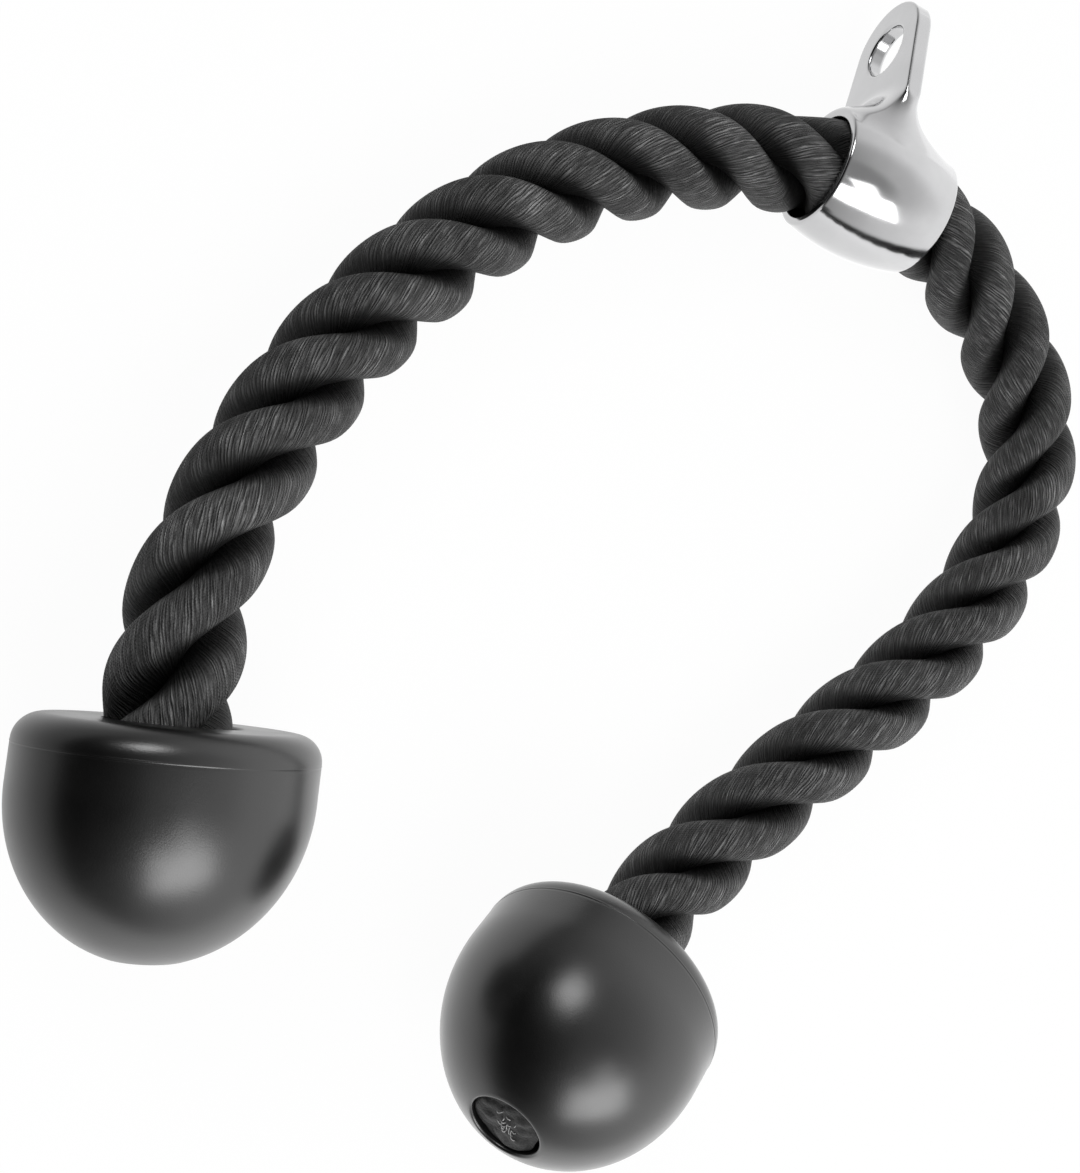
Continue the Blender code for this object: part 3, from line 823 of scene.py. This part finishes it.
def skin_of(distance, low, high, step):
    """Points and quads of the surface, found on a grid, pulled onto it and evened out."""
    low, high = np.array(low), np.array(high)
    counts = np.ceil((high - low) / step).astype(int) + 1
    grid = np.stack(np.meshgrid(*[np.arange(count) for count in counts], indexing="ij"), axis=-1)
    inside = (distance(low + grid.reshape(-1, 3) * step) < 0).reshape(counts)
    corners = sum(
        inside[i : counts[0] - 1 + i, j : counts[1] - 1 + j, k : counts[2] - 1 + k].astype(int)
        for i, j, k in np.ndindex(2, 2, 2)
    )
    mixed = (corners > 0) & (corners < CELL_CORNERS)
    index = np.full(mixed.shape, -1)
    index[mixed] = np.arange(mixed.sum())
    points = low + (np.argwhere(mixed) + 0.5) * step
    quads = crossing_quads(inside, index)
    edges = edges_of(quads)
    for _ in range(SKIN_ROUNDS):
        points = pulled_onto(distance, points)
        total = np.zeros_like(points)
        number = np.zeros(len(points))
        np.add.at(total, edges[:, 0], points[edges[:, 1]])
        np.add.at(number, edges[:, 0], 1)
        points = (points + total / number[:, None]) / 2
    return pulled_onto(distance, points), quads


# Clamp: one smooth skin, on the sleeve's middle with the tab along +Y

CLAMP_STEP = 0.0004
CLAMP_MARGIN = 0.002
# The seen tab ends a little short of the CAD model's, and the seen bore is a little tighter
TAB_TIP_GAP = 0.0004
BORE_GAP = 0.0004
TAB_FOOT_RADIUS = 0.0203
TAB_TIP_SEEN = 0.0148
TAB_TIP_PLACE = EYE_DISTANCE + TAB_TIP_RADIUS - TAB_TIP_SEEN - TAB_TIP_GAP
BORE_SEEN = BORE_RADIUS - BORE_GAP
CLAMP_FILLET = 0.0060
LEAST_FILLET = 0.00001
FILLET_START = 0.008
FILLET_RISE = 0.010
# In the flare the slab's faces lean, so its distance is slowed there by this share
FLARE_SLOWING_SHARE = 0.35
EYE_ROUND = 0.0010
# The tab's edge is small at its tip and grows in the flare
EDGE_SEEN = 0.0007
EDGE_GROWTH = 0.007
EDGE_SHARE = 0.8
RIM_OUTER_ROUND = 0.0007
RIM_INNER_ROUND = 0.0003
# The flare is evened out between these places: along +Y, then off the axis, then off the rim
EVEN_ROUNDS = 360
EVEN_SHARE = 0.6
EVEN_START = 0.007
EVEN_FULL = 0.013
EVEN_FADE = 0.024
EVEN_END = 0.031
EVEN_RIM = 0.0013


def tab_outline_distance(y, z):
    """Distance from the tab's outline: the hull of a circle under the sleeve's skin and one at its tip."""
    z = np.abs(z)
    lean = (TAB_FOOT_RADIUS - TAB_TIP_SEEN) / TAB_TIP_PLACE
    rise = np.sqrt(1 - lean**2)
    side = -lean * z + rise * y
    foot = np.hypot(y, z) - TAB_FOOT_RADIUS
    tip = np.hypot(y - TAB_TIP_PLACE, z) - TAB_TIP_SEEN
    flank = rise * z + lean * y - TAB_FOOT_RADIUS
    return np.where(side < 0, foot, np.where(side > rise * TAB_TIP_PLACE, tip, flank))


def clamp_distance(places):
    x, y, z = places[:, 0], places[:, 1], places[:, 2]
    from_axis = np.hypot(y, z)
    across = np.abs(x) - SLEEVE_HALF
    skin = from_axis - MOUTH_RADIUS - SLEEVE_BELLY * (1 - (x / SLEEVE_HALF) ** 2)
    barrel = rounded_and(skin, across, RIM_OUTER_ROUND)
    share = np.clip(1 - (from_axis - BELLY_RADIUS) / FLARE_RISE, 0, 1)
    root = np.sqrt(1 - share**2 * (1 - SLEEVE_BELLY / FLARE_RISE))
    half_thickness = TAB_THICKNESS / 2 + FLARE_SPREAD * (1 - root)
    slab = (np.abs(x - TAB_OFFSET) - half_thickness) * (1 - FLARE_SLOWING_SHARE * share)
    edge = np.minimum(EDGE_SEEN + EDGE_GROWTH * smooth_share(share), EDGE_SHARE * half_thickness)
    tab = rounded_and(tab_outline_distance(y, z), slab, edge)
    tab = rounded_and(tab, across, RIM_OUTER_ROUND)
    fillet = np.maximum(CLAMP_FILLET * smooth_share((y - FILLET_START) / FILLET_RISE), LEAST_FILLET)
    whole = smooth_or(barrel, tab, fillet)
    whole = rounded_and(whole, BORE_SEEN - from_axis, RIM_INNER_ROUND)
    eye = EYE_RADIUS - np.hypot(y - EYE_DISTANCE, z)
    return rounded_and(whole, eye, EYE_ROUND)


def evened_flare(points, quads):
    """Even out the skin where the tab flares into the sleeve, so that its edge fades out there."""
    x, y = points[:, 0], points[:, 1]
    from_axis = np.hypot(y, points[:, 2])
    weight = smooth_share((y - EVEN_START) / (EVEN_FULL - EVEN_START))
    weight *= 1 - smooth_share((from_axis - EVEN_FADE) / (EVEN_END - EVEN_FADE))
    weight *= smooth_share((SLEEVE_HALF - np.abs(x) - EVEN_RIM) / EVEN_RIM)
    weight *= from_axis > BORE_RADIUS + SLEEVE_WALL / 2
    edges = edges_of(quads)
    starts = np.concatenate([edges[:, 0], edges[:, 1]])
    ends = np.concatenate([edges[:, 1], edges[:, 0]])
    number = np.bincount(starts, minlength=len(points))
    share = EVEN_SHARE * weight[:, None]
    for _ in range(EVEN_ROUNDS):
        beside = np.stack([np.bincount(starts, points[ends, i], len(points)) for i in range(3)], axis=1)
        points = points * (1 - share) + share * beside / number[:, None]
    return points


def make_clamp(material):
    reach = BELLY_RADIUS + CLAMP_MARGIN
    half = SLEEVE_HALF + CLAMP_MARGIN
    tip = EYE_DISTANCE + TAB_TIP_RADIUS + CLAMP_MARGIN
    points, quads = skin_of(clamp_distance, (-half, -reach, -reach), (half, tip, reach), CLAMP_STEP)
    points = evened_flare(points, quads)
    clamp = mesh_object("clamp", points, quads.tolist())
    clamp.data.transform(Matrix.Translation(SLEEVE_CENTRE) @ Matrix.Rotation(-TAB_DIP, 4, "X"))
    finish_piece(clamp, material, "clamp", ["clamp_body"])


# Balls

BALL_COLUMNS = 160
EDGE_STEPS = 8
DOME_STEPS = 48
COLLAR_RINGS = 4
BORE_EDGE = 0.0010
HOLE_EDGE = 0.0007
HOLE_EDGE_LEAN = 0.15
SHARP_TURN = radians(40)
# The parting line is a faint ridge and groove, as (place, lift) shares of its half width and height
PARTING_PLACE = 0.0072
PARTING_HEIGHT = 0.00007
PARTING_HALF = 0.0003
PARTING_GAP = 0.001
PARTING_SHARES = ((-1.0, 0.0), (-0.5, 0.7), (0.0, 1.0), (0.5, 0.0), (1.0, -0.8), (1.6, 0.0))


def arc(centre, radius, start, end, steps):
    turns = np.linspace(start, end, steps + 1)
    return [(centre[0] + radius * cos(turn), centre[1] + radius * sin(turn)) for turn in turns]


def ball_profile():
    """(radius, height) from the bore over the flat face, the rim, the dome and down into the end hole."""
    bore_edge = arc((BORE_RADIUS + BORE_EDGE, BORE_EDGE), BORE_EDGE, pi, 1.5 * pi, EDGE_STEPS)
    rim_centre = (BALL_RADIUS - BALL_RIM_ROUND, BALL_RIM_ROUND)
    rim = arc(rim_centre, BALL_RIM_ROUND, -pi / 2, 0, 2 * EDGE_STEPS)
    parting = [
        (BALL_RADIUS + PARTING_HEIGHT * lift, PARTING_PLACE + PARTING_HALF * place)
        for place, lift in PARTING_SHARES
    ]
    heights = np.linspace(PARTING_PLACE + PARTING_GAP, BALL_COLLAR, COLLAR_RINGS + 1)[:-1]
    collar = [(BALL_RADIUS, height) for height in heights]
    dome_height = BALL_HEIGHT - BALL_COLLAR
    last = np.arccos((DOME_HOLE_RADIUS + HOLE_EDGE) / BALL_RADIUS)
    turns = np.linspace(0, last, DOME_STEPS)
    dome = [(BALL_RADIUS * cos(turn), BALL_COLLAR + dome_height * sin(turn)) for turn in turns]
    edge_centre = (DOME_HOLE_RADIUS + HOLE_EDGE, dome[-1][1] - HOLE_EDGE)
    hole_edge = arc(edge_centre, HOLE_EDGE, pi / 2 - HOLE_EDGE_LEAN, pi, EDGE_STEPS)
    seat = [(DOME_HOLE_RADIUS, ROPE_IN_BALL), (BORE_RADIUS, ROPE_IN_BALL)]
    return [*bore_edge, *rim, *parting, *collar, *dome[:-1], *hole_edge, *seat]


def turned(name, profile, columns):
    """A closed profile of (radius, height) points spun about +Z."""
    radii, heights = np.array(profile).T
    turns = np.arange(columns) / columns * 2 * pi
    x, y = np.outer(np.cos(turns), radii), np.outer(np.sin(turns), radii)
    z = np.outer(np.ones(columns), heights)
    points = np.stack([x, y, z], axis=-1).reshape(-1, 3)
    count = len(profile)
    faces = []
    for column in range(columns):
        here, beside = column * count, (column + 1) % columns * count
        for i in range(count):
            j = (i + 1) % count
            faces.append((here + i, beside + i, beside + j, here + j))
    return mesh_object(name, points, faces)


def make_ball(arm, material):
    ball = turned(f"{arm.side}_ball_shell", ball_profile(), BALL_COLUMNS)
    ball.data.transform(arm.ball_place())
    ball.data.set_sharp_from_angle(angle=SHARP_TURN)
    finish_piece(ball, material, f"{arm.side}_arm", [f"{arm.side}_ball"])


# Sealed strand ends in the dome's hole, with heights from the ball's face

TIP_COLUMNS = 96
TIP_RINGS = 26
TIP_TOP = 0.0551
TIP_RADIUS = 0.0097
TIP_CROWN = 0.0011
TIP_DEEP = 0.0045
# How far the outline goes from three lobes to a plain round
TIP_FILL_SHARE = 0.7
TIP_TURN = 2 * pi * 0.267
LOBE_RADIUS = 0.54 * TIP_RADIUS
LUMP_WAVES = 6
LUMP_SEED = 5
LUMP_HEIGHT = 0.00012
LUMP_RATE = 1500
LUMP_PHASE = 3


def tip_rings():
    """Points of a tip's top: its middle, then ring by ring outward."""
    lobe_centre = TIP_RADIUS - LOBE_RADIUS
    turns = np.arange(TIP_COLUMNS) / TIP_COLUMNS * 2 * pi
    off = (turns + LOBE_TURN / 2) % LOBE_TURN - LOBE_TURN / 2
    half_chord = np.sqrt(np.maximum(LOBE_RADIUS**2 - (lobe_centre * np.sin(off)) ** 2, 0))
    edge = (lobe_centre * np.cos(off) + half_chord) * (1 - TIP_FILL_SHARE) + TIP_RADIUS * TIP_FILL_SHARE
    waves = np.random.default_rng(LUMP_SEED).uniform(-1, 1, (LUMP_WAVES, 3))
    dip = TIP_CROWN * (1 - np.sqrt(1 - (lobe_centre / LOBE_RADIUS) ** 2))
    points = [(0, 0, TIP_TOP - dip)]
    for ring in range(1, TIP_RINGS + 1):
        radius = edge * ring / TIP_RINGS
        from_lobe = np.hypot(radius * np.cos(off) - lobe_centre, radius * np.sin(off))
        crown = np.sqrt(np.maximum(1 - (from_lobe / LOBE_RADIUS) ** 2, 0))
        x, y = radius * np.cos(turns), radius * np.sin(turns)
        lump = sum(np.sin((a * x + b * y) * LUMP_RATE + phase * LUMP_PHASE) for a, b, phase in waves)
        height = TIP_TOP - TIP_CROWN * (1 - crown) + LUMP_HEIGHT * lump * crown
        points += list(zip(x, y, height))
    return points


def make_tip(arm, material):
    """Three domed lobes, a little lumpy, on a plain foot."""
    points = tip_rings()
    foot_height = ROPE_IN_BALL - TIP_DEEP
    points += [(x, y, foot_height) for x, y, _ in points[-TIP_COLUMNS:]]
    points.append((0, 0, foot_height))
    faces = []
    last = len(points) - 1
    foot = 1 + TIP_RINGS * TIP_COLUMNS
    for i in range(TIP_COLUMNS):
        j = (i + 1) % TIP_COLUMNS
        faces.append((0, 1 + i, 1 + j))
        for ring in range(TIP_RINGS):
            low, high = 1 + ring * TIP_COLUMNS, 1 + (ring + 1) * TIP_COLUMNS
            faces.append((low + i, high + i, high + j, low + j))
        faces.append((last, foot + j, foot + i))
    tip = mesh_object(f"{arm.side}_strand_ends", points, faces)
    tip.data.transform(arm.ball_place() @ Matrix.Rotation(TIP_TURN, 4, "Z"))
    finish_piece(tip, material, f"{arm.side}_arm", [f"{arm.side}_rope_tip"])


# Worn filaments on the strand ends

FRAYS = 22
FRAY_PLACES = {"left": (0.001, -0.002), "right": (0.0, 0.0)}
FRAY_SEEDS = {"left": 21, "right": 22}
FRAY_SPREAD = 0.0016
FRAY_SINK = 0.0008
FRAY_REACHES = (0.0010, 0.0026)
FRAY_RISES = (0.0005, 0.0014)
FRAY_ARCH_TURN = 0.7 * pi
FRAY_RADIUS = 0.00022
FRAY_TAPER_SHARE = 0.6
FRAY_STEPS = 6
FRAY_CORNERS = 3
UP = np.array((0, 0, 1))


def make_frays(arm, material):
    """A tuft of short worn filaments on the strand ends, each a thin curved thread."""
    draw = np.random.default_rng(FRAY_SEEDS[arm.side])
    middle = np.array(FRAY_PLACES[arm.side])
    points, faces = [], []
    for _ in range(FRAYS):
        root = np.array((*(middle + draw.normal(0, FRAY_SPREAD, 2)), TIP_TOP - FRAY_SINK))
        lean = draw.uniform(0, 2 * pi)
        out = np.array((cos(lean), sin(lean), 0.0))
        side = np.array((-out[1], out[0], 0.0))
        reach, rise = draw.uniform(*FRAY_REACHES), draw.uniform(*FRAY_RISES)
        first = len(points)
        for step in range(FRAY_STEPS + 1):
            share = step / FRAY_STEPS
            centre = root + out * reach * share + UP * rise * sin(FRAY_ARCH_TURN * share)
            width = FRAY_RADIUS * (1 - FRAY_TAPER_SHARE * share)
            for corner in range(FRAY_CORNERS):
                angle = 2 * pi * corner / FRAY_CORNERS
                points.append(centre + width * (cos(angle) * side + sin(angle) * UP))
        for step in range(FRAY_STEPS):
            ring = first + FRAY_CORNERS * step
            for corner in range(FRAY_CORNERS):
                here, beside = ring + corner, ring + (corner + 1) % FRAY_CORNERS
                faces.append((here, beside, beside + FRAY_CORNERS, here + FRAY_CORNERS))
        last = first + FRAY_CORNERS * FRAY_STEPS
        faces.append(tuple(range(first + FRAY_CORNERS - 1, first - 1, -1)))
        faces.append(tuple(range(last, last + FRAY_CORNERS)))
    frays = mesh_object(f"{arm.side}_frays", points, faces)
    frays.data.transform(arm.ball_place())
    finish_piece(frays, material, f"{arm.side}_arm", [])


# The whole scene

def main():
    bpy.context.scene.view_settings.view_transform = "Standard"
    make_camera()
    make_floor()
    make_world()
    for softbox in SOFTBOXES:
        make_softbox(*softbox)
    nylon = nylon_material()
    rubber = rubber_material()
    melted = melted_material()
    frayed = frayed_material()
    arms = (
        Arm("left", LEFT_ROUTE, LEFT_MOUTH_TURN, LEFT_BALL_AZIMUTH, LEFT_BALL_RISE),
        Arm("right", RIGHT_ROUTE, RIGHT_MOUTH_TURN, RIGHT_BALL_AZIMUTH, RIGHT_BALL_RISE),
    )
    for arm in arms:
        declare_rope(make_rope(arm, nylon), arm)
        make_ball(arm, rubber)
        make_tip(arm, melted)
        make_frays(arm, frayed)
    make_clamp(chrome_material())
    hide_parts("rope_in_clamp")
    zinc = zinc_material()
    for side in ("left", "right"):
        ferrule = frame["nodes"][f"{side}_ferrule"]
        ferrule.data.materials.clear()
        ferrule.data.materials.append(zinc)


main()
